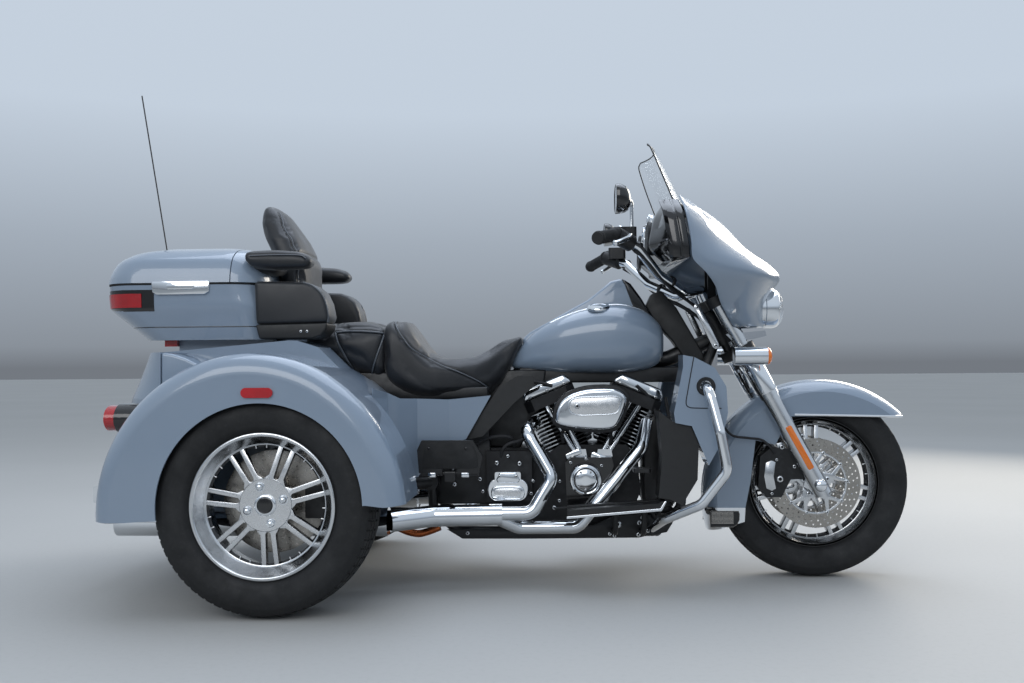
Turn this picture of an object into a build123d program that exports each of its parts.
"""A full-size touring trike: one steered front wheel, a V-twin engine, a handlebar-mounted
fairing, and two rear wheels under wide fenders with a trunk and a top box between them.

Frame: +X points forward, +Y to the rider's left, +Z up, and Z = 0 is the floor. Lengths are
in millimetres. Places along the machine are stations: distances forward of the rear axle.
"""
import os
from math import asin, cos, radians, sin, tan

from build123d import *

os.makedirs("parts", exist_ok=True)

# Driving dimensions: the whole machine
wheelbase = 1675
origin_station = 614
running_gap = 0.05
seat_gap = 0.3
moving_gap = 6

# Rear wheels
rear_track = 1150
rear_tyre_radius = 318
rear_tyre_width = 205
rear_rim_radius = 208
rear_rim_width = 176

# Front wheel
front_tyre_radius = 315
front_tyre_width = 130
front_rim_radius = 214
front_rim_width = 96

# Spokes of all three wheels
spoke_pairs = 7
spoke_width = 13
spoke_depth = 24
rear_spoke_turn = 17
front_spoke_turn = -13
rim_wall = 7
rim_flange = 8

# Steering
head_angle = 26
trail = 100
fork_angle = 28
fork_spacing = 230
slider_radius = 29
fork_tube_radius = 24.5
slider_length = 325
front_axle_radius = 12.5

# Panels
fender_wall = 6
fender_outer = 695
fender_inner = 430
fender_shoulder = 60
arch_radius = 292
panel_wall = 6
trunk_half_width = 335
trunk_floor = 430

# Tubes
frame_tube_radius = 19
backbone_radius = 26
guard_tube_radius = 16
bar_radius = 16
grip_radius = 18.5

rear_axle_height = rear_tyre_radius
front_axle_height = front_tyre_radius

# Planes: stations run along local x in both
BASE = Plane(origin=(-origin_station, 0, 0))
SIDE = Plane(origin=(-origin_station, 0, 0), x_dir=(1, 0, 0), z_dir=(0, -1, 0))


def cross_plane(station):
    """The plane across the machine at a station: local x is Y, local y is Z."""
    return Plane(origin=(station - origin_station, 0, 0), x_dir=(0, 1, 0), z_dir=(1, 0, 0))


def place(station, y, z):
    """A point in the part's frame from its station, Y and height."""
    return (station - origin_station, y, z)


def save(piece, name):
    """Label one finished piece and write it."""
    piece.part.label = name
    export_step(piece.part, f"parts/{name}.step")


def bent_tube(points, bends, radius):
    """A round tube along straight runs with a bend at each inner point."""
    path_points = [place(*point) for point in points]
    with BuildPart() as tube:
        with BuildLine() as route:
            FilletPolyline(*path_points, radius=bends)
        start = route.line @ 0
        heading = route.line % 0
        with BuildSketch(Plane(origin=start, z_dir=heading)):
            Circle(radius)
        sweep(path=route.line)
    return tube.part


def side_slab(points, y_low, y_high):
    """A plate with a straight-sided outline seen from the side, between two Y values."""
    with BuildPart() as slab:
        with BuildSketch(SIDE.offset(-y_high)):
            with BuildLine():
                Polyline(*points, close=True)
            make_face()
        extrude(amount=y_high - y_low)
    return slab.part


def common(form, limit):
    """What two forms share."""
    with BuildPart() as piece:
        add(form)
        add(limit, mode=Mode.INTERSECT)
    return piece.part


def straight_rod(start, end, radius):
    """A round rod between two points."""
    a = Vector(*place(*start))
    b = Vector(*place(*end))
    with BuildPart() as rod:
        with BuildSketch(Plane(origin=a, z_dir=b - a)):
            Circle(radius)
        extrude(amount=(b - a).length)
    return rod.part


def rounded_block(station, y, z, size, corner):
    """A block about a point, with rounded upright edges."""
    with BuildPart(Plane(origin=place(station, y, z))) as block:
        Box(*size)
        fillet(block.edges().filter_by(Axis.Z), corner)
    return block.part


# Wheels

def wheel_plane(station, y, height, outboard):
    """Horizontal plane through an axle: local x is radius, local y points outboard."""
    return Plane(origin=place(station, y, height), x_dir=(1, 0, 0), z_dir=(0, 0, outboard))


def wheel_face(station, y, height, outboard, offset):
    """Upright plane of a wheel, moved outboard by offset, that looks outboard."""
    return Plane(
        origin=place(station, y + outboard * offset, height),
        x_dir=(1, 0, 0),
        z_dir=(0, outboard, 0),
    )


def make_tyre(station, y, height, outboard, radius, width, rim_radius, rim_width):
    """A tyre: round tread, bulged sidewalls and beads that sit in the rim."""
    seat_radius = rim_radius - rim_flange - 2 + seat_gap
    bead_half = rim_width / 2 - rim_flange - seat_gap
    shoulder_drop = 0.035 * radius
    shoulder_radius = radius - shoulder_drop
    crown_radius = radius - shoulder_drop / 4
    shoulder_half = 0.41 * width
    side_radius = (rim_radius + radius) / 2
    plane = wheel_plane(station, y, height, outboard)
    with BuildPart() as piece:
        with BuildSketch(plane):
            with BuildLine():
                Line((seat_radius, -bead_half), (seat_radius, bead_half))
                Line((seat_radius, bead_half), (rim_radius + 1, bead_half))
                ThreePointArc(
                    (rim_radius + 1, bead_half),
                    (side_radius, width / 2),
                    (shoulder_radius, shoulder_half),
                )
                ThreePointArc(
                    (shoulder_radius, shoulder_half), (crown_radius, shoulder_half / 2), (radius, 0)
                )
                ThreePointArc(
                    (radius, 0), (crown_radius, -shoulder_half / 2), (shoulder_radius, -shoulder_half)
                )
                ThreePointArc(
                    (shoulder_radius, -shoulder_half),
                    (side_radius, -width / 2),
                    (rim_radius + 1, -bead_half),
                )
                Line((rim_radius + 1, -bead_half), (seat_radius, -bead_half))
            make_face()
        revolve(axis=Axis(place(station, y, height), (0, 1, 0)))
    return piece


def make_rim(station, y, height, outboard, radius, width, face_offset, hub_radius,
             hub_length, bore_radius, bore_length, start_angle):
    """A cast wheel: barrel with two flanges, pairs of spokes and a hub with a blind bore."""
    half = width / 2
    seat_radius = radius - rim_flange - 2
    barrel_inner = seat_radius - rim_wall
    spoke_inner = hub_radius - 6
    spoke_outer = barrel_inner + 3
    plane = wheel_plane(station, y, height, outboard)
    with BuildPart() as piece:
        with BuildSketch(plane):
            with BuildLine():
                Polyline(
                    (radius, half),
                    (radius - 12, half),
                    (barrel_inner, half - 22),
                    (barrel_inner - 3, 22 - half),
                    (radius - 8, -half),
                    (radius, -half),
                    (radius, rim_flange - half),
                    (seat_radius, rim_flange - half),
                    (seat_radius, half - rim_flange),
                    (radius, half - rim_flange),
                    close=True,
                )
            make_face()
        revolve(axis=Axis(place(station, y, height), (0, 1, 0)))
        with BuildSketch(wheel_face(station, y, height, outboard, face_offset)):
            with PolarLocations((spoke_inner + spoke_outer) / 2, spoke_pairs, start_angle):
                with Locations((0, 15), (0, -15)):
                    Rectangle(spoke_outer - spoke_inner, spoke_width)
            Circle(hub_radius)
        extrude(amount=-spoke_depth)
        with BuildSketch(wheel_face(station, y, height, outboard, face_offset)):
            Circle(bore_radius + 22)
        extrude(amount=-hub_length)
        with BuildSketch(wheel_face(station, y, height, outboard, face_offset - hub_length)):
            Circle(bore_radius)
        extrude(amount=bore_length, mode=Mode.SUBTRACT)
    return piece


rear_wheel_y = rear_track / 2
rear_face_offset = 46
rear_hub_radius = 76
rear_hub_length = 116
spindle_radius = 17.5
spindle_length = 80
rear_disc_radius = 150
rear_disc_thickness = 7
rear_disc_offset = -42

for side_name, outboard in (("right", -1), ("left", 1)):
    wheel_y = outboard * rear_wheel_y
    tyre = make_tyre(0, wheel_y, rear_axle_height, outboard, rear_tyre_radius,
                     rear_tyre_width, rear_rim_radius, rear_rim_width)
    save(tyre, f"rear_tyre_{side_name}")
    rim = make_rim(0, wheel_y, rear_axle_height, outboard, rear_rim_radius, rear_rim_width,
                   rear_face_offset, rear_hub_radius, rear_hub_length,
                   spindle_radius + running_gap, spindle_length + 4, rear_spoke_turn)
    with BuildPart() as rim_with_disc:
        add(rim.part)
        with BuildSketch(wheel_face(0, wheel_y, rear_axle_height, outboard, rear_disc_offset)):
            Circle(rear_disc_radius)
            Circle(spindle_radius + running_gap + 20, mode=Mode.SUBTRACT)
        extrude(amount=-rear_disc_thickness)
    save(rim_with_disc, f"rear_rim_{side_name}")

front_face_offset = 22
front_hub_radius = 60
front_hub_half = 56
front_disc_radius = 147
front_disc_thickness = 5
front_disc_y = 76

front_tyre = make_tyre(wheelbase, 0, front_axle_height, -1, front_tyre_radius,
                       front_tyre_width, front_rim_radius, front_rim_width)
save(front_tyre, "front_tyre")

with BuildPart() as front_rim:
    rim = make_rim(wheelbase, 0, front_axle_height, -1, front_rim_radius, front_rim_width,
                   front_face_offset, front_hub_radius, 40, front_axle_radius + running_gap,
                   10, front_spoke_turn)
    add(rim.part)
    with BuildSketch(wheel_face(wheelbase, 0, front_axle_height, -1, front_hub_half)):
        Circle(34)
    extrude(amount=-2 * front_hub_half)
    with BuildSketch(wheel_face(wheelbase, 0, front_axle_height, -1, front_hub_half)):
        Circle(front_axle_radius + running_gap)
    extrude(amount=-2 * front_hub_half, mode=Mode.SUBTRACT)
save(front_rim, "front_rim")

with BuildPart() as front_discs:
    for outboard in (-1, 1):
        disc_plane = wheel_face(wheelbase, 0, front_axle_height, outboard, front_disc_y)
        with BuildSketch(disc_plane):
            Circle(front_disc_radius)
            Circle(104, mode=Mode.SUBTRACT)
            with PolarLocations(68, 5, 18):
                Rectangle(84, 20)
            Circle(40)
            Circle(front_axle_radius + running_gap, mode=Mode.SUBTRACT)
        extrude(amount=-front_disc_thickness)
        carrier_plane = wheel_face(wheelbase, 0, front_axle_height, outboard, front_hub_half)
        with BuildSketch(carrier_plane):
            Circle(30)
            Circle(front_axle_radius + running_gap, mode=Mode.SUBTRACT)
        extrude(amount=front_disc_y - front_hub_half - front_disc_thickness)
save(front_discs, "front_discs")


# Steering geometry: the fork legs pass through the front axle
fork_up = Vector(-sin(radians(fork_angle)), 0, cos(radians(fork_angle)))
fork_y = fork_spacing / 2


def fork_point(distance, y):
    """A point on a fork leg's line, at a distance up from the front axle."""
    return (wheelbase + fork_up.X * distance, y, front_axle_height + fork_up.Z * distance)


def steer_station(height):
    """The steering axis's station at a height above the floor."""
    return wheelbase + trail - height * tan(radians(head_angle))


def leg_plane(distance, y):
    """Plane square to a fork leg at a distance up from the front axle."""
    return Plane(origin=place(*fork_point(distance, y)), x_dir=(0, 1, 0), z_dir=fork_up)


lower_clamp_at = 480
upper_clamp_at = 665
clamp_thickness = 34
stem_radius = 14
axle_half = fork_y + slider_radius + 6

with BuildPart() as fork:
    for y in (-fork_y, fork_y):
        with BuildSketch(leg_plane(-34, y)):
            Circle(slider_radius)
        extrude(amount=slider_length + 34)
        with BuildSketch(leg_plane(slider_length, y)):
            Circle(slider_radius + 3)
        extrude(amount=22)
        with BuildSketch(leg_plane(slider_length, y)):
            Circle(fork_tube_radius)
        extrude(amount=upper_clamp_at + clamp_thickness - slider_length)
    with BuildSketch(wheel_face(wheelbase, 0, front_axle_height, -1, axle_half)):
        Circle(front_axle_radius)
    extrude(amount=-2 * axle_half)
save(fork, "fork")


def clamp_height(distance):
    """Height of the fork legs' line at a distance up from the front axle."""
    return front_axle_height + fork_up.Z * distance


stem_low = clamp_height(lower_clamp_at)
stem_high = clamp_height(upper_clamp_at) + 20
head_low = clamp_height(lower_clamp_at + clamp_thickness) + 8
head_high = clamp_height(upper_clamp_at) - 18
bracket_y = 30
bracket_width = 12
fairing_floor = 1030

with BuildPart() as fork_clamps:
    for distance in (lower_clamp_at, upper_clamp_at):
        with BuildSketch(leg_plane(distance, 0)):
            with Locations((-fork_y, 0), (fork_y, 0)):
                Circle(fork_tube_radius + 13)
            with BuildLine():
                Polyline((-fork_y, -24), (0, -20), (fork_y, -24), (fork_y, 24), (0, 62),
                         (-fork_y, 24), close=True)
            make_face()
            with Locations((-fork_y, 0), (fork_y, 0)):
                Circle(fork_tube_radius, mode=Mode.SUBTRACT)
        extrude(amount=clamp_thickness)
    stem_start = (steer_station(stem_low + 14), 0, stem_low + 14)
    stem_end = (steer_station(stem_high), 0, stem_high)
    add(straight_rod(stem_start, stem_end, stem_radius))
    for y in (-bracket_y - bracket_width, bracket_y):
        add(side_slab([(1336, 925), (1362, 925), (1362, fairing_floor), (1336, fairing_floor)],
                      y, y + bracket_width))
save(fork_clamps, "fork_clamps")

bar_route = [(955, -450, 1088), (1015, -335, 1112), (1085, -280, 1078), (1156, -205, 998),
             (1250, -115, 945), (1312, -60, 958)]
bar_bends = 40
whole_bar = bar_route + [(x, -y, z) for x, y, z in reversed(bar_route)]

with BuildPart() as handlebar:
    add(bent_tube(whole_bar, bar_bends, bar_radius))
    for y in (-46, 46):
        add(straight_rod((1312, y, 958), (1330, y, 915), 13))
    add(fork_clamps.part, mode=Mode.SUBTRACT)
save(handlebar, "handlebar")

housing_radius = 27
lever_radius = 6
reservoir_size = (62, 46, 40)
reservoir_height = 1120

with BuildPart() as hand_controls:
    for side in (1, -1):
        grip_end = (955, -450 * side, 1088)
        grip_start = (1013, -339 * side, 1111)
        housing_end = (1062, -298 * side, 1089)
        grip_axis = Vector(*grip_start) - Vector(*grip_end)
        cap_end = Vector(*grip_end) - grip_axis.normalized() * 5
        add(straight_rod(tuple(cap_end), grip_start, grip_radius))
        add(straight_rod(grip_start, housing_end, housing_radius))
        lever = [(1060, -318 * side, 1112), (1052, -372 * side, 1098), (1008, -462 * side, 1072)]
        add(bent_tube(lever, 30, lever_radius))
        add(rounded_block(1050, -285 * side, reservoir_height, reservoir_size, 10))
    add(bent_tube(whole_bar, bar_bends, bar_radius), mode=Mode.SUBTRACT)
save(hand_controls, "hand_controls")

mirror_size = (46, 152, 84)
mirror_base = reservoir_height + reservoir_size[2] / 2 + seat_gap


def mirror_shell(side):
    """One mirror's housing, with its rounded back towards the front."""
    with BuildPart(Plane(origin=place(1032, -425 * side, 1208))) as shell:
        Box(*mirror_size)
        fillet(shell.edges().filter_by(Axis.X), 34)
        fillet(shell.faces().sort_by(Axis.X)[-1].edges(), 14)
    return shell.part


with BuildPart() as mirrors:
    for side in (1, -1):
        stem = [(1066, -290 * side, mirror_base), (1066, -290 * side, 1222), (1040, -372 * side, 1214)]
        add(bent_tube(stem, 20, 6))
        add(mirror_shell(side))
save(mirrors, "mirrors")

# Fairing: plan sections from bottom to top
fairing_wall = 6
headlamp_height = 895
headlamp_radius = 64
fairing_sections = [
    # height, half width, station of the side edge, station of the nose
    (832, 150, 1400, 1523),
    (900, 260, 1345, 1520),
    (950, 320, 1320, 1545),
    (990, 365, 1285, 1567),
    (1030, 392, 1243, 1536),
    (1084, 396, 1238, 1460),
    (1170, 382, 1225, 1374),
    (1236, 300, 1215, 1272),
]

with BuildPart() as fairing:
    for height, half, edge, nose in fairing_sections:
        with BuildSketch(BASE.offset(height)):
            with BuildLine():
                ThreePointArc((edge, -half), (nose, 0), (edge, half))
                Line((edge, half), (edge - fairing_wall, half - fairing_wall))
                ThreePointArc(
                    (edge - fairing_wall, half - fairing_wall),
                    (nose - 1.2 * fairing_wall, 0),
                    (edge - fairing_wall, fairing_wall - half),
                )
                Line((edge - fairing_wall, fairing_wall - half), (edge, -half))
            make_face()
    loft(ruled=True)
    with BuildSketch(cross_plane(1440)):
        with Locations((0, headlamp_height)):
            Circle(headlamp_radius + seat_gap)
    extrude(amount=200, mode=Mode.SUBTRACT)
save(fairing, "fairing")

dash_sections = [
    # height, half width, side edge, nose, station of the rear face
    (fairing_floor, 392, 1243, 1536, 1165),
    (1084, 396, 1238, 1460, 1122),
    (1170, 382, 1225, 1374, 1138),
    (1222, 317, 1217, 1294, 1168),
]

with BuildPart() as fairing_inner:
    for height, half, edge, nose, rear in dash_sections:
        front = edge - fairing_wall - seat_gap
        inner_half = half - fairing_wall - 3
        with BuildSketch(BASE.offset(height)):
            with BuildLine():
                Polyline((front, -half), (front, -inner_half))
                ThreePointArc((front, -inner_half), (nose - 4 * fairing_wall, 0),
                              (front, inner_half))
                Polyline((front, inner_half), (front, half), (front - 58, half),
                         (rear, 0.62 * half), (rear, -0.62 * half), (front - 58, -half),
                         (front, -half))
            make_face()
    loft(ruled=True)
save(fairing_inner, "fairing_inner")

screen_wall = 4
screen_sections = [
    # height, half width, side edge, middle
    (1222 + seat_gap, 262, 1200, 1262),
    (1330, 250, 1160, 1212),
    (1428, 205, 1125, 1164),
]

with BuildPart() as windscreen:
    for height, half, edge, middle in screen_sections:
        with BuildSketch(BASE.offset(height)):
            with BuildLine():
                ThreePointArc((edge, -half), (middle, 0), (edge, half))
                Line((edge, half), (edge - screen_wall, half))
                ThreePointArc((edge - screen_wall, half), (middle - screen_wall, 0),
                              (edge - screen_wall, -half))
                Line((edge - screen_wall, -half), (edge, -half))
            make_face()
    loft(ruled=True)
save(windscreen, "windscreen")

lens_radius = 58
lens_rise = 20
lens_edge = 1572
lens_sphere = (lens_rise ** 2 + lens_radius ** 2) / (2 * lens_rise)
lens_half_turn = asin(lens_radius / lens_sphere) / 2
lens_middle = (
    lens_edge + lens_rise - lens_sphere * (1 - cos(lens_half_turn)),
    lens_sphere * sin(lens_half_turn),
)

with BuildPart() as headlamp:
    with BuildSketch(wheel_plane(0, 0, headlamp_height, -1)):
        with BuildLine():
            Polyline((1440, 0), (1440, 40), (1480, headlamp_radius), (1560, headlamp_radius),
                     (lens_edge, lens_radius))
            ThreePointArc((lens_edge, lens_radius), lens_middle, (lens_edge + lens_rise, 0))
            Line((lens_edge + lens_rise, 0), (1440, 0))
        make_face()
    revolve(axis=Axis(place(0, 0, headlamp_height), (1, 0, 0)))
save(headlamp, "headlamp")

# Lamp bar and turn signals, carried on the fork legs
signal_radius = 29
signal_height = 734
signal_y = 190
lamp_bar_section = [(1400, 786), (1470, 790), (1512, 800), (1508, 818), (1440, 812), (1380, 806)]

lamp_arm_inner = 98
lamp_arm_outer = 128

with BuildPart() as front_lamps:
    add(side_slab([(1484, 794), (1512, 800), (1508, 818), (1480, 815)], -lamp_arm_outer,
                  lamp_arm_outer))
    for side in (-1, 1):
        arm_low = min(side * lamp_arm_inner, side * lamp_arm_outer)
        add(side_slab(lamp_bar_section, arm_low, arm_low + lamp_arm_outer - lamp_arm_inner))
        signal_end = (1500, side * signal_y, signal_height)
        signal_start = (1396, side * signal_y, signal_height)
        add(straight_rod(signal_start, signal_end, signal_radius))
        arm = [(1440, side * signal_y, signal_height), (1440, side * (fork_y - 20), 770)]
        add(straight_rod(arm[0], arm[1], 12))
    add(fork.part, mode=Mode.SUBTRACT)
    add(fork_clamps.part, mode=Mode.SUBTRACT)
save(front_lamps, "front_lamps")

# Front fender: a valance section turned about a centre a little below and ahead of the axle
fender_centre = (1700, 268)
crown_radius = 386
front_fender_half = fork_y - slider_radius - seat_gap
front_fender_wall = 4
front_fender_start = 46
front_fender_end = 197
tip_height = 235
valance_low = 200


def valance_section(radius, half):
    """Half-height of a fender's cross-section: flat sides and a crowned top."""
    Line((valance_low, -half), (radius - 38, -half))
    ThreePointArc((radius - 38, -half), (radius - 9, -0.65 * half), (radius, 0))
    ThreePointArc((radius, 0), (radius - 9, 0.65 * half), (radius - 38, half))
    Line((radius - 38, half), (valance_low, half))
    Line((valance_low, half), (valance_low, -half))


def fender_turn(radius, half, wall, start, end):
    """A fender shell turned about its centre, between two angles up from straight ahead."""
    origin = place(fender_centre[0], 0, fender_centre[1])
    heading = Vector(cos(radians(start)), 0, sin(radians(start)))
    plane = Plane(origin=origin, x_dir=heading, z_dir=Vector(0, 1, 0).cross(heading) * -1)
    with BuildPart() as shell:
        with BuildSketch(plane):
            with BuildLine():
                valance_section(radius, half)
            make_face()
            with BuildLine():
                valance_section(radius - wall, half - wall)
            make_face(mode=Mode.SUBTRACT)
        revolve(axis=Axis(origin, (0, -1, 0)), revolution_arc=end - start)
    return shell.part


wheel_side_cut = [(2200, 535), (1590, 535), (1545, 442), (1480, 457), (1461, 316), (1444, 235),
                  (1432, 60), (2200, 60)]

with BuildPart() as front_fender:
    add(fender_turn(crown_radius, front_fender_half, front_fender_wall, front_fender_start,
                    front_fender_end))
    add(side_slab(wheel_side_cut, -200, 200), mode=Mode.SUBTRACT)
    add(side_slab([(1100, 0), (2200, 0), (2200, tip_height), (1100, tip_height)], -200, 200),
        mode=Mode.SUBTRACT)
save(front_fender, "front_fender")

with BuildPart() as fender_tip:
    add(fender_turn(crown_radius + 1.5, front_fender_half + 1.5, front_fender_wall + 1.5, 170,
                    front_fender_end))
    add(side_slab(wheel_side_cut, -200, 200), mode=Mode.SUBTRACT)
    add(side_slab([(1100, tip_height), (2200, tip_height), (2200, 900), (1100, 900)], -200, 200),
        mode=Mode.SUBTRACT)
save(fender_tip, "fender_tip")

caliper_outline = [(1484, 305), (1492, 405), (1530, 436), (1585, 430), (1640, 390), (1640, 330),
                   (1590, 330), (1560, 272), (1510, 270)]
caliper_inner = 57
caliper_outer = 100

with BuildPart() as front_calipers:
    for side in (-1, 1):
        y_low = min(side * caliper_inner, side * caliper_outer)
        add(side_slab(caliper_outline, y_low, y_low + caliper_outer - caliper_inner))
        slot_plane = wheel_face(wheelbase, 0, front_axle_height, side, front_disc_y + moving_gap)
        with BuildSketch(slot_plane):
            Circle(front_disc_radius + moving_gap)
        extrude(amount=-front_disc_thickness - 2 * moving_gap, mode=Mode.SUBTRACT)
        with BuildSketch(wheel_face(wheelbase, 0, front_axle_height, side, front_disc_y)):
            Circle(90)
        extrude(amount=-30, mode=Mode.SUBTRACT)
    add(fork.part, mode=Mode.SUBTRACT)
    add(front_fender.part, mode=Mode.SUBTRACT)
save(front_calipers, "front_calipers")


# Engine
crank = (945, 258)
cylinder_angle = 22.5
crankcase_half = 95
fin_half = 88
fin_half_y = 86
fin_corner = 26
fin_thickness = 3.5
fin_pitch = 13
barrel_from = 165
fins_from = 192
head_from = 350
rocker_from = 388
rocker_to = 428
head_half_y = 106.7
split_gap = 3


def cylinder_plane(lean, distance):
    """Plane square to a cylinder at a distance from the crank: lean 1 is the front one."""
    angle = radians(cylinder_angle) * lean
    axis = Vector(sin(angle), 0, cos(angle))
    origin = Vector(*place(crank[0], 0, crank[1])) + axis * distance
    return Plane(origin=origin, x_dir=(0, 1, 0), z_dir=axis)


def octagon(half_x, half_y, corner):
    """A rectangle with cut corners."""
    Polyline((half_x - corner, half_y), (corner - half_x, half_y), (-half_x, half_y - corner),
             (-half_x, corner - half_y), (corner - half_x, -half_y), (half_x - corner, -half_y),
             (half_x, corner - half_y), (half_x, half_y - corner), close=True)


belt_low = 60
belt_width = 26
belt_thickness = 6
front_pulley = (628, 330)
front_pulley_radius = 48
rear_pulley = (0, rear_axle_height)
rear_pulley_radius = 92


def belt_form(extra, y_low, y_high):
    """The form inside a belt round both pulleys, larger by extra, between two Y values."""
    with BuildPart() as form:
        with BuildSketch(SIDE.offset(-y_high)):
            with Locations(front_pulley):
                Circle(front_pulley_radius + extra)
            with Locations(rear_pulley):
                Circle(rear_pulley_radius + extra)
            make_hull()
        extrude(amount=y_high - y_low)
    return form.part


case_outline = [(590, 190), (562, 260), (562, 395), (600, 435), (770, 435), (800, 420),
                (835, 445), (1055, 445), (1092, 400), (1100, 290), (1060, 195), (1010, 178),
                (640, 178)]

with BuildPart() as crankcase:
    with BuildSketch(SIDE.offset(-crankcase_half)):
        with BuildLine():
            Polyline(*case_outline, close=True)
        make_face()
    extrude(amount=2 * crankcase_half)
    with BuildSketch(SIDE.offset(crankcase_half)):
        with Locations((668, 345)):
            Rectangle(150, 165)
    extrude(amount=40)
    add(belt_form(2 * belt_thickness, belt_low - 5, crankcase_half), mode=Mode.SUBTRACT)
save(crankcase, "crankcase")

fin_count = int((head_from - fins_from) / fin_pitch)

with BuildPart() as cylinders:
    for lean in (-1, 1):
        with BuildSketch(cylinder_plane(lean, barrel_from)):
            Circle(60)
        extrude(amount=rocker_from - barrel_from)
        for index in range(fin_count):
            with BuildSketch(cylinder_plane(lean, fins_from + index * fin_pitch)):
                with BuildLine():
                    octagon(fin_half_y, fin_half, fin_corner)
                make_face()
            extrude(amount=fin_thickness)
        with BuildSketch(cylinder_plane(lean, head_from)):
            with BuildLine():
                octagon(head_half_y, fin_half, fin_corner)
            make_face()
        extrude(amount=rocker_from - head_from)
    middle = crank[0]
    split = [(middle - split_gap, 300), (middle + split_gap, 300), (middle + split_gap, 700),
             (middle - split_gap, 700)]
    add(side_slab(split, -200, 200), mode=Mode.SUBTRACT)
    add(crankcase.part, mode=Mode.SUBTRACT)
save(cylinders, "cylinders")

with BuildPart() as rocker_covers:
    for lean in (-1, 1):
        with BuildSketch(cylinder_plane(lean, rocker_from)):
            Rectangle(172, 150)
        extrude(amount=14)
        with BuildSketch(cylinder_plane(lean, rocker_from + 14)):
            Rectangle(156, 132)
        extrude(amount=rocker_to - rocker_from - 14, taper=12)
save(rocker_covers, "rocker_covers")

cam_outline = [(852, 392), (872, 408), (1004, 408), (1010, 380), (990, 330), (925, 240),
               (880, 240), (856, 262)]
timer_centre = (918, 337)
timer_radius = 54
cam_face = 150

with BuildPart() as cam_cover:
    add(side_slab(cam_outline, -cam_face, -crankcase_half))
    with BuildSketch(SIDE.offset(cam_face)):
        with Locations(timer_centre):
            Circle(timer_radius)
    extrude(amount=14)
    with BuildSketch(SIDE.offset(cam_face + 14)):
        with Locations(timer_centre):
            Circle(timer_radius - 10)
    extrude(amount=8)
save(cam_cover, "cam_cover")

pushrod_radius = 9
pushrod_y = head_half_y - pushrod_radius
pushrods = [
    # foot station, foot height, lean, distance across the cylinder, distance up it
    (888, 414, -1, -20),
    (908, 414, -1, 14),
    (972, 414, 1, -14),
    (992, 414, 1, 20),
]

with BuildPart() as pushrod_tubes:
    for foot_x, foot_z, lean, across in pushrods:
        angle = radians(cylinder_angle) * lean
        top_x = crank[0] + sin(angle) * head_from + cos(angle) * across
        top_z = crank[1] + cos(angle) * head_from - sin(angle) * across
        add(straight_rod((foot_x, -pushrod_y, foot_z), (top_x, -pushrod_y, top_z),
                         pushrod_radius))
    for x in (898, 982):
        add(side_slab([(x - 26, 408), (x + 26, 408), (x + 22, 432), (x - 22, 432)],
                      -pushrod_y - 20, -crankcase_half - 1))
    add(crankcase.part, mode=Mode.SUBTRACT)
    add(cylinders.part, mode=Mode.SUBTRACT)
save(pushrod_tubes, "pushrod_tubes")

cleaner_outline = [(812, 536), (822, 585), (858, 621), (922, 642), (1007, 644), (1046, 628),
                   (1060, 595), (1040, 536), (1014, 498), (955, 492), (858, 501), (818, 517)]
plate_outline = [(796, 530), (812, 598), (860, 640), (1010, 658), (1072, 636), (1076, 580),
                 (1040, 500), (1016, 476), (860, 480), (804, 502)]
cleaner_back = head_half_y + 18
cleaner_face = 240

with BuildPart() as air_cleaner:
    add(side_slab(plate_outline, -cleaner_back, -head_half_y - seat_gap))
    with BuildSketch(SIDE.offset(cleaner_back)):
        with BuildLine():
            Polyline(*cleaner_outline, close=True)
        make_face()
    extrude(amount=cleaner_face - cleaner_back - 14)
    with BuildSketch(SIDE.offset(cleaner_face - 14)):
        with BuildLine():
            Polyline(*cleaner_outline, close=True)
        make_face()
    extrude(amount=14, taper=45)
save(air_cleaner, "air_cleaner")

gear_face = 192

with BuildPart() as transmission_cover:
    with BuildSketch(SIDE.offset(crankcase_half + 40)):
        with Locations((666, 306)):
            RectangleRounded(122, 66, 26)
        with Locations((666, 348)):
            RectangleRounded(84, 34, 6)
    extrude(amount=gear_face - crankcase_half - 40)
save(transmission_cover, "transmission_cover")

with BuildPart() as primary_cover:
    with BuildSketch(SIDE.offset(-crankcase_half)):
        with Locations((690, 295)):
            Circle(98)
        with Locations((1000, 275)):
            Circle(84)
        with Locations((845, 282)):
            Rectangle(320, 160)
    extrude(amount=-85, taper=-3)
save(primary_cover, "primary_cover")

# Exhaust
header_radius = 22
shield_radius = 34
muffler_radius = 46
muffler_y = 318
muffler_height = 226
muffler_front = 300
muffler_rear = -560

with BuildPart() as header_pipes:
    rear_header = [(752, -100, 520), (724, -196, 500), (812, -228, 350), (745, -240, 239),
                   (640, -246, 239)]
    add(bent_tube(rear_header, 45, header_radius))
    front_header = [(1120, -100, 520), (1098, -158, 440), (958, -188, 268), (890, -196, 190),
                    (700, -205, 190), (630, -240, 226)]
    add(bent_tube(front_header, 40, header_radius))
    for side in (-1, 1):
        link = [(650, side * 246, 236), (430, side * 262, 234), (muffler_front + 4,
                side * muffler_y, muffler_height)]
        add(bent_tube(link, 60, shield_radius))
    add(bent_tube([(600, -240, 236), (520, -150, 214), (520, 150, 214), (600, 240, 236)], 60,
                  header_radius))
    add(cylinders.part, mode=Mode.SUBTRACT)
save(header_pipes, "header_pipes")

with BuildPart() as mufflers:
    for side in (-1, 1):
        with BuildSketch(cross_plane(muffler_rear)):
            with Locations((side * muffler_y, muffler_height)):
                Circle(muffler_radius)
        extrude(amount=muffler_front - muffler_rear)
        with BuildSketch(cross_plane(muffler_rear)):
            with Locations((side * muffler_y, muffler_height)):
                Circle(muffler_radius - 8)
        extrude(amount=60, mode=Mode.SUBTRACT)
    add(header_pipes.part, mode=Mode.SUBTRACT)
save(mufflers, "mufflers")

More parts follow.
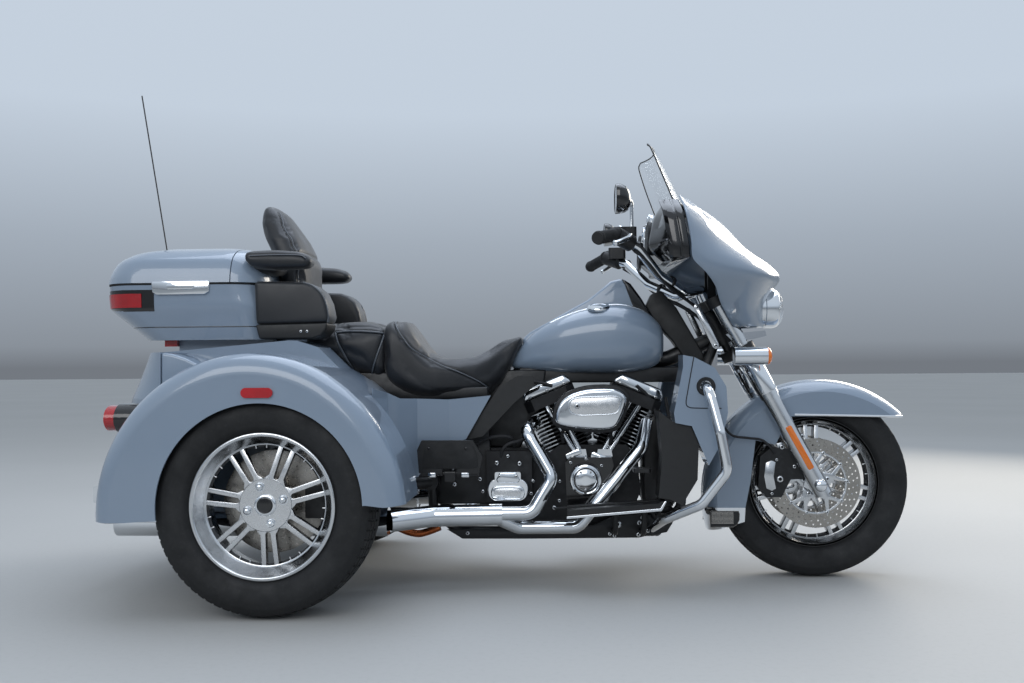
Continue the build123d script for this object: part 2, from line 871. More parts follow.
# Frame
pivot_station = 410
pivot_height = 330
rail_y = 150
rail_height = 409
rail_end = -400
rail_radius = 14
body_pads = (-340, -110)
tank_tunnel = backbone_radius + 12
tank_mounts = ((820, 722), (1120, 727))

with BuildPart() as backbone:
    head_start = (steer_station(head_low), 0, head_low)
    head_end = (steer_station(head_high), 0, head_high)
    add(straight_rod(head_start, head_end, 30))
    add(bent_tube([(1372, 0, 800), (1200, 0, 728), (712, 0, 716), (645, 0, 545), (420, 0, 505),
                   (160, 0, 505)], 60, backbone_radius))
    for side in (-1, 1):
        rail = [(600, side * 20, 540), (430, side * rail_y, 500),
                (150, side * rail_y, rail_height), (rail_end, side * rail_y, rail_height)]
        add(bent_tube(rail, 50, rail_radius))
        for x in body_pads:
            with BuildSketch(BASE.offset(rail_height)):
                with Locations((x, side * rail_y)):
                    Rectangle(44, 22)
            extrude(amount=trunk_floor - rail_height)
    for x, z in tank_mounts:
        with BuildSketch(SIDE.offset(-tank_tunnel)):
            with Locations((x, z)):
                Circle(9)
        extrude(amount=2 * tank_tunnel)
    stem_start = (steer_station(head_low - 40), 0, head_low - 40)
    stem_end = (steer_station(head_high + 40), 0, head_high + 40)
    add(straight_rod(stem_start, stem_end, stem_radius + running_gap), mode=Mode.SUBTRACT)
save(backbone, "backbone")

cradle_y = 116
belly_height = 163

with BuildPart() as cradle:
    for side in (-1, 1):
        loop = [(1356, side * 32, 775), (1262, side * 100, 560), (1228, side * cradle_y, 240),
                (1150, side * cradle_y, belly_height), (500, side * cradle_y, belly_height),
                (415, side * cradle_y, 230), (405, side * cradle_y, 470),
                (430, side * 140, 498)]
        add(bent_tube(loop, 40, frame_tube_radius - 3))
    for x, z in ((1150, belly_height), (1000, belly_height), (640, belly_height),
                 (pivot_station, pivot_height)):
        with BuildSketch(SIDE.offset(-cradle_y)):
            with Locations((x, z)):
                Circle(frame_tube_radius - 3)
        extrude(amount=2 * cradle_y)
    add(backbone.part, mode=Mode.SUBTRACT)
    add(crankcase.part, mode=Mode.SUBTRACT)
save(cradle, "cradle")


# Fuel tank: cross-sections from the tail to the front
tank_sections = [
    # station, low, high, half width, corner radius
    (682, 700, 748, 42, 20),
    (760, 692, 826, 92, 50),
    (880, 684, 884, 134, 80),
    (1010, 682, 909, 152, 90),
    (1110, 690, 893, 142, 86),
    (1172, 716, 846, 112, 60),
]

with BuildPart() as fuel_tank:
    for station, low, high, half, corner in tank_sections:
        with BuildSketch(cross_plane(station)):
            with Locations((0, (low + high) / 2)):
                RectangleRounded(2 * half, high - low, corner)
    loft()
    add(side_slab([(640, 600), (1300, 600), (1300, 810), (1210, 776), (640, 750)], -tank_tunnel,
                  tank_tunnel), mode=Mode.SUBTRACT)
save(fuel_tank, "fuel_tank")

console_top = [(712, 800), (737, 822), (864, 892), (934, 930), (970, 958), (1010, 991),
               (1044, 1001), (1075, 980), (1110, 932), (1141, 880), (1100, 850), (712, 760)]

with BuildPart() as tank_console:
    add(side_slab(console_top, -46, 46))
    add(fuel_tank.part, mode=Mode.SUBTRACT)
save(tank_console, "tank_console")

# Seat
seat_outline = [(0, 712), (0, 838), (81, 851), (258, 857), (291, 874), (329, 848), (357, 798),
                (401, 742), (439, 731), (560, 736), (640, 790), (710, 819), (700, 790),
                (678, 762), (658, 685), (610, 628), (327, 620), (200, 672), (150, 700)]
seat_plan = [(0, -180), (250, -186), (330, -196), (440, -190), (560, -150), (640, -96),
             (712, -66), (712, 66), (640, 96), (560, 150), (440, 190), (330, 196), (250, 186),
             (0, 180)]

with BuildPart() as seat:
    with BuildSketch(BASE.offset(600)):
        with BuildLine():
            Polyline(*seat_plan, close=True)
        make_face()
    extrude(amount=300)
    add(side_slab(seat_outline, -200, 200), mode=Mode.INTERSECT)
    add(fuel_tank.part, mode=Mode.SUBTRACT)
    add(tank_console.part, mode=Mode.SUBTRACT)
save(seat, "seat")

# Rear body, trunk and fenders
crown_corners = {
    "rear foot": (-482, 275),
    "rear bend": (-413, 538),
    "rear top": (-190, 722),
    "front top": (190, 684),
    "front foot": (408, 325),
}
skirt_low = 200


def toward_axle(point, inset):
    """A point of the side view moved towards the rear axle."""
    across = Vector(point[0], point[1] - rear_axle_height)
    moved = across * (1 - inset / across.length)
    return (moved.X, moved.Y + rear_axle_height)


def crown_form(inset, y_from, y_to, shoulder):
    """The fender's outer form, inset by a wall, between two distances out from the middle."""
    corner = {name: toward_axle(point, inset) for name, point in crown_corners.items()}
    with BuildPart() as form:
        with BuildSketch(SIDE.offset(y_from)):
            with BuildLine():
                rear = ThreePointArc(corner["rear foot"], corner["rear bend"], corner["rear top"])
                middle = TangentArc(rear @ 1, corner["front top"], tangent=rear % 1)
                front = TangentArc(middle @ 1, corner["front foot"], tangent=middle % 1)
                Polyline(front @ 1, (corner["front foot"][0], skirt_low),
                         (corner["rear foot"][0], skirt_low), rear @ 0)
            make_face()
        extrude(amount=y_to - y_from)
        if shoulder > 0:
            outer_face = form.faces().sort_by(Axis.Y)[0]
            fillet(outer_face.edges().filter_by(GeomType.CIRCLE), shoulder)
    return form.part


fender_foot = [(-700, 0), (700, 0), (700, 326), (300, 326), (-380, 278), (-700, 278)]

with BuildPart() as fender_right:
    add(crown_form(0, fender_inner, fender_outer, fender_shoulder))
    add(crown_form(fender_wall, fender_inner + fender_wall, fender_outer - fender_wall,
                   fender_shoulder - fender_wall), mode=Mode.SUBTRACT)
    with BuildSketch(SIDE.offset(fender_inner + fender_wall)):
        with Locations((0, rear_axle_height)):
            Circle(arch_radius)
    extrude(amount=400, mode=Mode.SUBTRACT)
    with BuildSketch(SIDE.offset(fender_inner - 20)):
        with Locations((0, rear_axle_height)):
            Circle(75)
    extrude(amount=60, mode=Mode.SUBTRACT)
    add(side_slab(fender_foot, -fender_outer - 20, -fender_inner + 20), mode=Mode.SUBTRACT)
save(fender_right, "fender_right")

with BuildPart() as fender_left:
    mirror(fender_right.part, about=Plane.XZ)
save(fender_left, "fender_left")

# Rear body: plan sections of the tail, with the deck, its flanks and the trunk inside
deck_outline = [(-426, 757), (-8, 793), (20, 792), (86, 771), (184, 675), (262, 560), (270, 340),
                (-440, 340)]
deck_half = 352
body_front = 270
tail_low = 345
tail_sections = [
    # height, station of the tail's middle, corner station, front station
    (tail_low, -601, -440, -330),
    (618, -506, -400, -330),
    (756, -427, -376, -330),
]
tail_half = 560
flat_half = 300
door_half = 285
door_low = 440
door_high = 690
door_thickness = 16
door_gap = 6
door_frame = 22
trunk_front = -60
trunk_top = 742


def tail_station(height):
    """Station of the tail's middle at a height, from the table of its sections."""
    low, mid, high = tail_sections
    first, second = (low, mid) if height <= mid[0] else (mid, high)
    share = (height - first[0]) / (second[0] - first[0])
    return first[1] + share * (second[1] - first[1])


def tail_strip(depth_from, depth_to, low, high):
    """Side outline of a strip behind the tail's skin, between two depths and two heights."""
    heights = [low, tail_sections[1][0], high]
    outer = [(tail_station(height) + depth_from, height) for height in heights]
    inner = [(tail_station(height) + depth_to, height) for height in reversed(heights)]
    return outer + inner


def tail_form(inset):
    """The tail's outer form with its rounded corners, inset by a wall."""
    half = tail_half - inset
    with BuildPart() as form:
        for height, back, corner, front in tail_sections:
            level = min(height, tail_sections[-1][0] - inset)
            rear = back + inset
            bulge = (rear + corner + inset) / 2 - 6
            side = (flat_half + half) / 2 + 14
            with BuildSketch(BASE.offset(level)):
                with BuildLine():
                    ThreePointArc((front, -half), (bulge, -side), (rear, -flat_half))
                    Line((rear, -flat_half), (rear, flat_half))
                    ThreePointArc((rear, flat_half), (bulge, side), (front, half))
                    Line((front, half), (front, -half))
                make_face()
        loft(ruled=True)
    return form.part


trunk_rear = [(tail_station(height) + door_frame, height) for height in (trunk_floor + panel_wall, 618,
                                                                       trunk_top)]
trunk_outline = trunk_rear + [(trunk_front, trunk_top), (trunk_front, trunk_floor + panel_wall)]
axle_arch = [(-74, 0), (74, 0), (74, 320), (48, 372), (-48, 372), (-74, 320)]
door_axis = (-588, 424)
door_pin_radius = 3.5
strap_half = 20
strap_places = (-200, 200)
hinge_lug = [(-598, 416), (-598, 430), (-584, 433), (-566, 430), (-566, 408), (-590, 410)]
strap_outline = [(-581, 424), (-577, 440), (tail_station(446) + 2, 446),
                 (tail_station(470) + 2, 470), (tail_station(470) - 7, 470), (-586, 442),
                 (-595, 424)]
under_outline = [(-700, 200), (300, 200), (300, 548), (250, 560), (180, 655), (100, 730),
                 (30, 755), (-48, 755), (-48, trunk_floor), (-545, trunk_floor),
                 (-580, tail_low + 5), (-700, 300)]
pocket_half = trunk_half_width + panel_wall
wheel_room = crown_form(0, fender_inner, fender_outer + 20, 0)

with BuildPart() as rear_body:
    add(tail_form(0))
    add(side_slab(deck_outline, -deck_half, deck_half))
    add(crown_form(0, -fender_inner, fender_inner, 0))
    add(side_slab([(body_front, 0), (700, 0), (700, 900), (body_front, 900)], -500, 500),
        mode=Mode.SUBTRACT)
    add(side_slab([(-700, 0), (700, 0), (700, tail_low), (-700, tail_low)], -600, 600),
        mode=Mode.SUBTRACT)
    add(side_slab(axle_arch, -600, 600), mode=Mode.SUBTRACT)
    for side in (-1, 1):
        fender_block = wheel_room
        pocket = crown_form(panel_wall, pocket_half, fender_inner - panel_wall, 0)
        apron = common(tail_form(panel_wall), side_slab(
            [(-700, 200), (-300, 200), (-300, 800), (-700, 800)], -600, -pocket_half))
        if side == 1:
            fender_block = fender_block.mirror(Plane.XZ)
            pocket = pocket.mirror(Plane.XZ)
            apron = apron.mirror(Plane.XZ)
        add(fender_block, mode=Mode.SUBTRACT)
        add(pocket, mode=Mode.SUBTRACT)
        add(apron, mode=Mode.SUBTRACT)
    add(side_slab(trunk_outline, -trunk_half_width, trunk_half_width), mode=Mode.SUBTRACT)
    add(side_slab(under_outline, panel_wall - deck_half, deck_half - panel_wall),
        mode=Mode.SUBTRACT)
    add(side_slab(tail_strip(-60, 90, door_low - door_gap, door_high + door_gap),
                  -door_half - door_gap, door_half + door_gap), mode=Mode.SUBTRACT)
    for y in strap_places:
        for low in (y - strap_half - moving_gap - 8, y + strap_half + moving_gap):
            add(side_slab(hinge_lug, low, low + 8))
        with BuildSketch(SIDE.offset(-y - strap_half - moving_gap - 8)):
            with Locations(door_axis):
                Circle(door_pin_radius)
        extrude(amount=2 * (strap_half + moving_gap + 8))
    add(seat.part, mode=Mode.SUBTRACT)
save(rear_body, "rear_body")

with BuildPart() as trunk_door:
    add(side_slab(tail_strip(0, door_thickness, door_low, door_high), -door_half, door_half))
    for y in strap_places:
        add(side_slab(strap_outline, y - strap_half, y + strap_half))
        with BuildSketch(SIDE.offset(-y - strap_half)):
            with Locations(door_axis):
                Circle(door_pin_radius + 3.5)
        extrude(amount=2 * strap_half)
        with BuildSketch(SIDE.offset(-y - strap_half)):
            with Locations(door_axis):
                Circle(door_pin_radius + running_gap)
        extrude(amount=2 * strap_half, mode=Mode.SUBTRACT)
save(trunk_door, "trunk_door")

# Side covers: a bent strip seen from above, trimmed to its outline from the side
cover_plan = [(613, 195), (478, 205), (380, 240), (300, 330), (272, 430)]
cover_plan_inner = [(274 - panel_wall, 420), (294, 326), (376, 234), (476, 199), (613, 189)]
cover_outline = [(200, 665), (246, 657), (332, 608), (478, 601), (613, 613), (532, 472),
                 (440, 452), (381, 354), (200, 354)]

with BuildPart() as side_covers:
    for side in (-1, 1):
        with BuildSketch(BASE.offset(300)):
            with BuildLine():
                Polyline(*[(x, side * y) for x, y in cover_plan + cover_plan_inner], close=True)
            make_face()
    extrude(amount=400)
    add(side_slab(cover_outline, -440, 440), mode=Mode.INTERSECT)
    add(rear_body.part, mode=Mode.SUBTRACT)
    add(seat.part, mode=Mode.SUBTRACT)
save(side_covers, "side_covers")

deflector_outline = [(700, 676), (752, 676), (752, 640), (690, 590), (585, 480), (536, 470),
                     (530, 476), (640, 640)]
deflector_inner = 170
deflector_outer = 185

with BuildPart() as heat_deflectors:
    for side in (-1, 1):
        low = min(side * deflector_inner, side * deflector_outer)
        add(side_slab(deflector_outline, low, low + deflector_outer - deflector_inner))
        add(straight_rod((684, 0, 645), (684, side * deflector_inner, 645), 8))
    add(backbone.part, mode=Mode.SUBTRACT)
save(heat_deflectors, "heat_deflectors")

# Top box: base, its lid and the shoulder in front of the lid that stays on the base
box_wall = 5
box_floor = 798
box_rim = 973
lid_low = box_rim + moving_gap
lid_front = -203
shoulder_rear = lid_front + moving_gap
box_sections = [
    # height, rear station, front station, half width, corner radius
    (box_floor, -505, -68, 290, 100),
    (900, -622, -82, 318, 110),
    (box_rim, -627, -110, 323, 110),
]
lid_sections = [
    (lid_low, -629, -99, 325, 110),
    (1050, -604, -117, 305, 110),
    (1082, -555, -145, 262, 100),
    (1096, -512, -177, 215, 90),
]


def box_form(sections, inset, floor=0, roof=0):
    """A lofted box with round corners, inset by a wall, with its ends moved by floor and roof."""
    last = len(sections) - 1
    with BuildPart() as form:
        for index, (height, rear, front, half, corner) in enumerate(sections):
            level = height + (floor if index == 0 else 0) + (roof if index == last else 0)
            with BuildSketch(BASE.offset(level)):
                with Locations(((rear + front) / 2, 0)):
                    RectangleRounded(front - rear - 2 * inset, 2 * (half - inset), corner - inset)
        loft(ruled=True)
    return form.part


hinge_y = 338
hinge_height = lid_low + 8
knuckle_radius = 7
lid_pin_radius = 3.5
knuckle_length = 48
lug_length = 8
lid_hinges = (-520, -300)
lid_lug = [(318, 940), (345, 975), (345, 990), (341, 994), (333, 994), (331, 990), (331, 972),
           (318, 960)]
shoulder_plan = [(shoulder_rear, -300), (-157, -300), (-144, -289), (-112, -215), (-112, 215),
                 (-144, 289), (-157, 300), (shoulder_rear, 300)]
rack_outline = [(-400, 745), (-400, box_floor), (-90, box_floor), (-90, 770)]
far = 900


def end_plate(station):
    """A wall across the lid's form, reaching a wall's thickness to the rear of a station."""
    with BuildPart() as plate:
        with BuildSketch(cross_plane(station)):
            with BuildLine():
                Polyline((-319, lid_low), (319, lid_low), (300, 1046), (262, 1076), (215, 1091),
                         (-215, 1091), (-262, 1076), (-300, 1046), close=True)
            make_face()
        extrude(amount=-box_wall)
    return plate.part


with BuildPart() as lid_shell:
    add(box_form(lid_sections, 0))
    add(box_form(lid_sections, box_wall, floor=-1, roof=-box_wall), mode=Mode.SUBTRACT)

with BuildPart() as top_box:
    add(box_form(box_sections, 0))
    add(box_form(box_sections, box_wall, floor=box_wall, roof=1), mode=Mode.SUBTRACT)
    add(common(lid_shell.part, side_slab(
        [(shoulder_rear, 0), (0, 0), (0, far * 2), (shoulder_rear, far * 2)], -far, far)))
    add(end_plate(shoulder_rear + box_wall))
    with BuildSketch(BASE.offset(box_rim - 1)):
        with BuildLine():
            Polyline(*shoulder_plan, close=True)
        make_face()
    extrude(amount=lid_low - box_rim + 1)
    for side in (-1, 1):
        low = min(side * 190, side * 230)
        add(side_slab(rack_outline, low, low + 40))
    for x in lid_hinges:
        for start in (x - moving_gap - lug_length, x + knuckle_length + moving_gap):
            with BuildSketch(cross_plane(start)):
                with BuildLine():
                    Polyline(*lid_lug, close=True)
                make_face()
            extrude(amount=lug_length)
        with BuildSketch(cross_plane(x - moving_gap - lug_length)):
            with Locations((hinge_y, hinge_height)):
                Circle(lid_pin_radius)
        extrude(amount=knuckle_length + 2 * (moving_gap + lug_length))
    add(rear_body.part, mode=Mode.SUBTRACT)
save(top_box, "top_box")

with BuildPart() as box_lid:
    add(lid_shell.part)
    add(side_slab([(lid_front, 0), (0, 0), (0, far * 2), (lid_front, far * 2)], -far, far),
        mode=Mode.SUBTRACT)
    add(end_plate(lid_front))
    for x in lid_hinges:
        with BuildSketch(cross_plane(x)):
            with Locations((hinge_y, hinge_height)):
                Circle(knuckle_radius)
            with BuildLine():
                Polyline((hinge_y, hinge_height - 5), (hinge_y, hinge_height + 7),
                         (hinge_y - 18, hinge_height + 7), (hinge_y - 18, hinge_height - 5),
                         close=True)
            make_face()
            with Locations((hinge_y, hinge_height)):
                Circle(lid_pin_radius + running_gap, mode=Mode.SUBTRACT)
        extrude(amount=knuckle_length)
save(box_lid, "box_lid")

# Pods with loudspeakers in front of the top box, and the passenger's soft parts
pod_outline = [(-130, 985), (40, 978), (100, 930), (113, 871), (100, 820), (60, 798), (-110, 798)]
pod_inner = 190
pod_outer = 320

box_block = box_form(box_sections, 0, roof=60)
lid_block = box_form(lid_sections, 0)


def speaker_pod(side):
    """One pod, cut to the top box and the deck that it sits against."""
    low = min(side * pod_inner, side * pod_outer)
    with BuildPart() as pod:
        add(side_slab(pod_outline, low, low + pod_outer - pod_inner))
        fillet(pod.faces().sort_by(Axis.Y)[0 if side == -1 else -1].edges(), 16)
        for solid in (box_block, lid_block, rear_body.part):
            add(solid, mode=Mode.SUBTRACT)
    return pod.part.solids().sort_by(SortBy.VOLUME)[-1]


with BuildPart() as speaker_pods:
    for side in (-1, 1):
        add(speaker_pod(side))
save(speaker_pods, "speaker_pods")

backrest_outline = [(-10, 870), (-5, 1057), (-43, 1145), (-100, 1230), (-150, 1268), (-183, 1262),
                    (-186, 1200), (-120, 1080), (-100, 990), (-80, 870)]
armrest_outline = [(-162, 1015), (-162, 1082), (40, 1082), (63, 1060), (63, 1025), (50, 1015)]
rest_half_low = 165
rest_half_high = 85

with BuildPart() as backrest:
    add(side_slab(backrest_outline, -rest_half_low, rest_half_low))
    with BuildSketch(cross_plane(-300)):
        with BuildLine():
            Polyline((-rest_half_low, 800), (rest_half_low, 800), (rest_half_low, 1120),
                     (rest_half_high + 22, 1240), (rest_half_high, 1290), (-rest_half_high, 1290),
                     (-rest_half_high - 22, 1240), (-rest_half_low, 1120), close=True)
        make_face()
    extrude(amount=400, mode=Mode.INTERSECT)
    for side in (-1, 1):
        low = min(side * 250, side * 345)
        add(side_slab(armrest_outline, low, low + 95))
    for solid in (box_block, lid_block, speaker_pods.part):
        add(solid, mode=Mode.SUBTRACT)
save(backrest, "backrest")

# Lamps of the rear end
tail_lamp = (480, 560)
tail_lamp_size = (55, 39)
tail_lamp_rear = -513
marker = (-2, 639)

with BuildPart() as lamp_bezels:
    add(box_form(box_sections, -4))
    add(box_form(box_sections, 0), mode=Mode.SUBTRACT)
    for low, high in ((0, 890), (958, 2000)):
        add(side_slab([(-900, low), (200, low), (200, high), (-900, high)], -far, far),
            mode=Mode.SUBTRACT)
    add(side_slab([(-447, 0), (200, 0), (200, 2000), (-447, 2000)], -far, far), mode=Mode.SUBTRACT)
    add(side_slab([(-900, 0), (200, 0), (200, 2000), (-900, 2000)], -190, 190), mode=Mode.SUBTRACT)
    for side in (-1, 1):
        with BuildSketch(cross_plane(-380)):
            with Locations((side * tail_lamp[0], tail_lamp[1])):
                Ellipse(tail_lamp_size[0] + 6, tail_lamp_size[1] + 6)
        extrude(amount=-100)
    for solid in (rear_body.part, top_box.part, tail_form(panel_wall), wheel_room,
                  wheel_room.mirror(Plane.XZ)):
        add(solid, mode=Mode.SUBTRACT)
    for side in (-1, 1):
        with BuildSketch(cross_plane(-380)):
            with Locations((side * tail_lamp[0], tail_lamp[1])):
                Ellipse(*tail_lamp_size)
        extrude(amount=-200, mode=Mode.SUBTRACT)
save(lamp_bezels, "lamp_bezels")

with BuildPart() as rear_lenses:
    add(box_form(box_sections, -7))
    add(box_form(box_sections, -4), mode=Mode.SUBTRACT)
    for low, high in ((0, 902), (946, 2000)):
        add(side_slab([(-900, low), (200, low), (200, high), (-900, high)], -far, far),
            mode=Mode.SUBTRACT)
    add(side_slab([(-487, 0), (200, 0), (200, 2000), (-487, 2000)], -far, far), mode=Mode.SUBTRACT)
    add(side_slab([(-900, 0), (200, 0), (200, 2000), (-900, 2000)], -205, 205), mode=Mode.SUBTRACT)
    for side in (-1, 1):
        with BuildSketch(cross_plane(-380)):
            with Locations((side * tail_lamp[0], tail_lamp[1])):
                Ellipse(*tail_lamp_size)
        extrude(amount=tail_lamp_rear + 380)
    add(side_slab([(-441, 779), (-441, box_floor), (-400, box_floor), (-400, 779)], -250, 250))
    for solid in (rear_body.part, top_box.part, tail_form(panel_wall), wheel_room,
                  wheel_room.mirror(Plane.XZ)):
        add(solid, mode=Mode.SUBTRACT)
    for side in (-1, 1):
        with BuildSketch(SIDE.offset(fender_outer if side == -1 else -fender_outer)):
            with Locations(marker):
                SlotOverall(90, 28)
        extrude(amount=-6 * side)
save(rear_lenses, "rear_lenses")

antenna_radius = 2.5
antenna_base = (-600, 322, 790)
rear_reach = 2 * origin_station - wheelbase - front_tyre_radius
antenna_tip = (rear_reach + antenna_radius, 322, 1755)

with BuildPart() as antenna:
    add(straight_rod(antenna_base, antenna_tip, antenna_radius))
    add(straight_rod(antenna_base, (-609, 322, 844), 10))
    add(straight_rod((-500, 250, 832), (-603, 322, 810), 9))
    add(box_form(box_sections, 0), mode=Mode.SUBTRACT)
save(antenna, "antenna")

# Rear axle, its arms, shocks and brakes
axle_radius = 38
axle_half = 500
spindle_end = rear_wheel_y + rear_face_offset - rear_hub_length + spindle_length
arm_radius = 22
caliper_reach = (96, 166)
caliper_half = 48

with BuildPart() as rear_axle:
    with BuildSketch(SIDE.offset(-axle_half)):
        with Locations((0, rear_axle_height)):
            Circle(axle_radius)
    extrude(amount=2 * axle_half)
    with BuildSketch(SIDE.offset(-spindle_end)):
        with Locations((0, rear_axle_height)):
            Circle(spindle_radius)
    extrude(amount=2 * spindle_end)
    with BuildSketch(SIDE.offset(-50)):
        with Locations((0, rear_axle_height)):
            Circle(98)
    extrude(amount=150)
    for side in (-1, 1):
        add(bent_tube([(pivot_station, side * 150, pivot_height), (300, side * 200, 324),
                       (0, side * 240, rear_axle_height)], 120, arm_radius))
        add(straight_rod((pivot_station, side * (cradle_y + 4), pivot_height),
                         (pivot_station, side * 168, pivot_height), arm_radius + 5))
        low = min(side * 486, side * 552)
        add(side_slab([(caliper_reach[0], rear_axle_height - caliper_half),
                       (caliper_reach[0], rear_axle_height + caliper_half),
                       (caliper_reach[1] - 16, rear_axle_height + caliper_half),
                       (caliper_reach[1], rear_axle_height),
                       (caliper_reach[1] - 16, rear_axle_height - caliper_half)], low, low + 66))
        plate_low = min(side * 488, side * 500)
        add(side_slab([(0, rear_axle_height - 60), (0, rear_axle_height + 60),
                       (caliper_reach[0] + 4, rear_axle_height + caliper_half),
                       (caliper_reach[0] + 4, rear_axle_height - caliper_half)],
                      plate_low, plate_low + 12))
        slot = wheel_face(0, side * rear_wheel_y, rear_axle_height, side,
                          rear_disc_offset + moving_gap)
        with BuildSketch(slot):
            Circle(rear_disc_radius + moving_gap)
            Circle(60, mode=Mode.SUBTRACT)
        extrude(amount=-rear_disc_thickness - 2 * moving_gap, mode=Mode.SUBTRACT)
    add(cradle.part, mode=Mode.SUBTRACT)
save(rear_axle, "rear_axle")

shock_foot = (-12, 200, 345)
shock_head = (168, 200, 505)

with BuildPart() as shocks:
    for side in (-1, 1):
        foot = (shock_foot[0], side * shock_foot[1], shock_foot[2])
        head = (shock_head[0], side * shock_head[1], shock_head[2])
        add(straight_rod(foot, head, 20))
        lower = (30, side * shock_foot[1], 382)
        upper = (140, side * shock_foot[1], 480)
        add(straight_rod(lower, upper, 29))
    with BuildSketch(SIDE.offset(-216)):
        with Locations((shock_head[0], shock_head[2])):
            Circle(14)
    extrude(amount=432)
    add(backbone.part, mode=Mode.SUBTRACT)
    add(rear_axle.part, mode=Mode.SUBTRACT)
save(shocks, "shocks")

with BuildPart() as drive_belt:
    add(belt_form(belt_thickness, belt_low, belt_low + belt_width))
    add(belt_form(0, belt_low - 1, belt_low + belt_width + 1), mode=Mode.SUBTRACT)
    for centre, radius in ((front_pulley, front_pulley_radius), (rear_pulley, rear_pulley_radius)):
        with BuildSketch(SIDE.offset(-belt_low)):
            with Locations(centre):
                Circle(radius)
        extrude(amount=-belt_width)
    add(rear_axle.part, mode=Mode.SUBTRACT)
save(drive_belt, "drive_belt")

# Rider's boards, pedals and the passenger's folding boards
board_outline = [(857, 238), (1145, 262), (1160, 290), (1148, 290), (1138, 283), (857, 262)]
board_inner = 222
board_outer = 335
pedal_pad = (54, 66, 12)

with BuildPart() as floorboards:
    for side in (-1, 1):
        low = min(side * board_inner, side * board_outer)
        add(side_slab(board_outline, low, low + board_outer - board_inner))
        for x in (1010, 1100):
            bracket = [(x, side * cradle_y, belly_height + 3), (x, side * 212, belly_height + 9),
                       (x, side * 250, 262)]
            add(bent_tube(bracket, 24, 9))
        pedal = [(1150, side * cradle_y, 190), (1104, side * 200, 280), (1092, side * 245, 374)]
        add(bent_tube(pedal, 40, 7))
        add(rounded_block(1092, side * 255, 378, pedal_pad, 8))
    add(cradle.part, mode=Mode.SUBTRACT)
save(floorboards, "floorboards")

step_hinge = (285, 372)
step_station = (386, 593)
step_thickness = 18
step_height = 103
step_pin_radius = 4
step_bracket_gap = 8
notch = (step_station[0] + step_station[1]) / 2

for side_name, side in (("right", -1), ("left", 1)):
    low = min(side * (step_hinge[0] - step_thickness / 2), side * (step_hinge[0] + step_thickness / 2))
    with BuildPart() as board:
        add(side_slab([(step_station[0] + 6, step_hinge[1]), (step_station[1] - 12, step_hinge[1]),
                       (step_station[1], step_hinge[1] + step_height / 2),
                       (step_station[1] - 30, step_hinge[1] + step_height),
                       (step_station[0] + 14, step_hinge[1] + step_height),
                       (step_station[0], step_hinge[1] + step_height - 30)],
                      low, low + step_thickness))
        with BuildSketch(cross_plane(step_station[0] + 10)):
            with Locations((side * step_hinge[0], step_hinge[1])):
                Circle(step_thickness / 2)
        extrude(amount=step_station[1] - step_station[0] - 24)
        add(side_slab([(notch - 24, 340), (notch + 24, 340), (notch + 24, step_hinge[1] + 22),
                       (notch - 24, step_hinge[1] + 22)], low - 1, low + step_thickness + 1),
            mode=Mode.SUBTRACT)
        with BuildSketch(cross_plane(notch - 60)):
            with Locations((side * step_hinge[0], step_hinge[1])):
                Circle(step_pin_radius + running_gap)
        extrude(amount=120, mode=Mode.SUBTRACT)
    save(board, f"passenger_board_{side_name}")

with BuildPart() as board_brackets:
    for side in (-1, 1):
        lug = notch - 24 + step_bracket_gap
        width = 48 - 2 * step_bracket_gap
        bracket_line = [(notch, side * 150, 420), (notch, side * 220, 352),
                        (notch, side * (step_hinge[0] - 4), 352)]
        add(bent_tube(bracket_line, 30, 9))
        add(straight_rod((405, side * cradle_y, 420), (notch, side * 150, 420), 12))
        with BuildSketch(cross_plane(lug)):
            with Locations((side * step_hinge[0], step_hinge[1])):
                Circle(9)
            with Locations((side * step_hinge[0], 358)):
                Rectangle(18, 24)
        extrude(amount=width)
        with BuildSketch(cross_plane(notch - 54)):
            with Locations((side * step_hinge[0], step_hinge[1])):
                Circle(step_pin_radius)
        extrude(amount=108)
    add(cradle.part, mode=Mode.SUBTRACT)
save(board_brackets, "board_brackets")

# Engine guard and the lower fairings that it passes through
guard_route = [(1279, 88, 606), (1285, 370, 645), (1317, 400, 504), (1338, 400, 389),
               (1262, 380, 286), (1158, 300, 230), (1130, 126, 172)]
guard_bends = 45


def guard_tube(side, radius):
    """One side's guard at a given radius."""
    return bent_tube([(x, side * y, z) for x, y, z in guard_route], guard_bends, radius)


with BuildPart() as engine_guard:
    for side in (-1, 1):
        add(guard_tube(side, guard_tube_radius))
    add(cradle.part, mode=Mode.SUBTRACT)
save(engine_guard, "engine_guard")

lower_outline = [(1215, 738), (1250, 731), (1312, 698), (1346, 640), (1350, 560), (1330, 470),
                 (1290, 400), (1240, 520), (1190, 530), (1186, 560), (1215, 700)]
lower_cavity = [(1221, 730), (1248, 724), (1307, 693), (1340, 638), (1344, 560), (1324, 472),
                (1291, 414), (1245, 527), (1195, 536), (1192, 561), (1221, 699)]
vent_outline = [(1141, 566), (1184, 532), (1238, 522), (1262, 462), (1257, 355), (1209, 277),
                (1172, 295), (1138, 299), (1150, 420)]
vent_cavity = [(1148, 555), (1182, 525), (1234, 515), (1256, 461), (1251, 357), (1206, 284),
               (1174, 301), (1145, 305), (1156, 420)]
lower_inner = 215
lower_outer = 345
vent_outer = 332
guard_room = 3


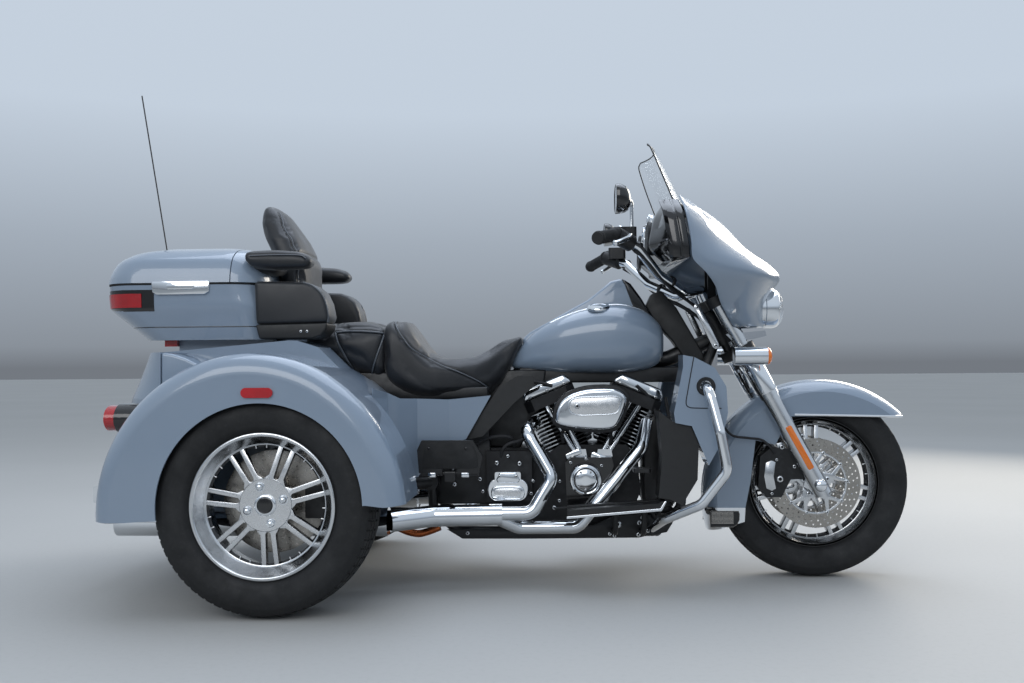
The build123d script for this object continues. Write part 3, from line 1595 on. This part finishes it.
def open_shell(outline, cavity, side, outer, wall):
    """A moulded cover open on its inner side."""
    low = min(side * lower_inner, side * outer)
    cavity_low = min(side * (lower_inner - 1), side * (outer - wall))
    with BuildPart() as shell:
        add(side_slab(outline, low, low + outer - lower_inner))
        add(side_slab(cavity, cavity_low, cavity_low + outer - wall - lower_inner + 1),
            mode=Mode.SUBTRACT)
    return shell.part


with BuildPart() as lower_fairings:
    for side in (-1, 1):
        add(open_shell(lower_outline, lower_cavity, side, lower_outer, panel_wall))
        add(guard_tube(side, guard_tube_radius + guard_room), mode=Mode.SUBTRACT)
        add(straight_rod((1262, side * 100, 560), (1256, side * (lower_outer - 3), 560), 9))
    add(cradle.part, mode=Mode.SUBTRACT)
save(lower_fairings, "lower_fairings")

with BuildPart() as lower_vents:
    for side in (-1, 1):
        add(open_shell(vent_outline, vent_cavity, side, vent_outer, panel_wall))
        add(guard_tube(side, guard_tube_radius + guard_room), mode=Mode.SUBTRACT)
        add(straight_rod((1228, side * cradle_y, 330), (1220, side * (vent_outer - 3), 330), 9))
    add(cradle.part, mode=Mode.SUBTRACT)
    add(lower_fairings.part, mode=Mode.SUBTRACT)
save(lower_vents, "lower_vents")

# Tail bumper with the bare number-plate holder
bumper_half = 250
bumper_outline = [(-640, 276), (-640, 322), (-656, 332), (-677, 326), (-677, 276), (-656, 268)]
plate_back = -681
plate_half = 100
plate_low = 290
plate_high = 408
plate_hole_spacing = 177.8
plate_hole_radius = 3.5
plate_hole_height = 384

with BuildPart() as tail_bumper:
    add(side_slab(bumper_outline, -bumper_half, bumper_half))
    for side in (-1, 1):
        add(bent_tube([(rail_end, side * rail_y, rail_height), (-470, side * rail_y, 370),
                       (-650, side * rail_y, 296)], 60, rail_radius))
    add(backbone.part, mode=Mode.SUBTRACT)
    with BuildSketch(cross_plane(plate_back)):
        with Locations((0, (plate_low + plate_high) / 2)):
            RectangleRounded(2 * plate_half, plate_high - plate_low, 10)
        with Locations((-plate_hole_spacing / 2, plate_hole_height),
                       (plate_hole_spacing / 2, plate_hole_height)):
            Circle(plate_hole_radius, mode=Mode.SUBTRACT)
    extrude(amount=4)
save(tail_bumper, "tail_bumper")
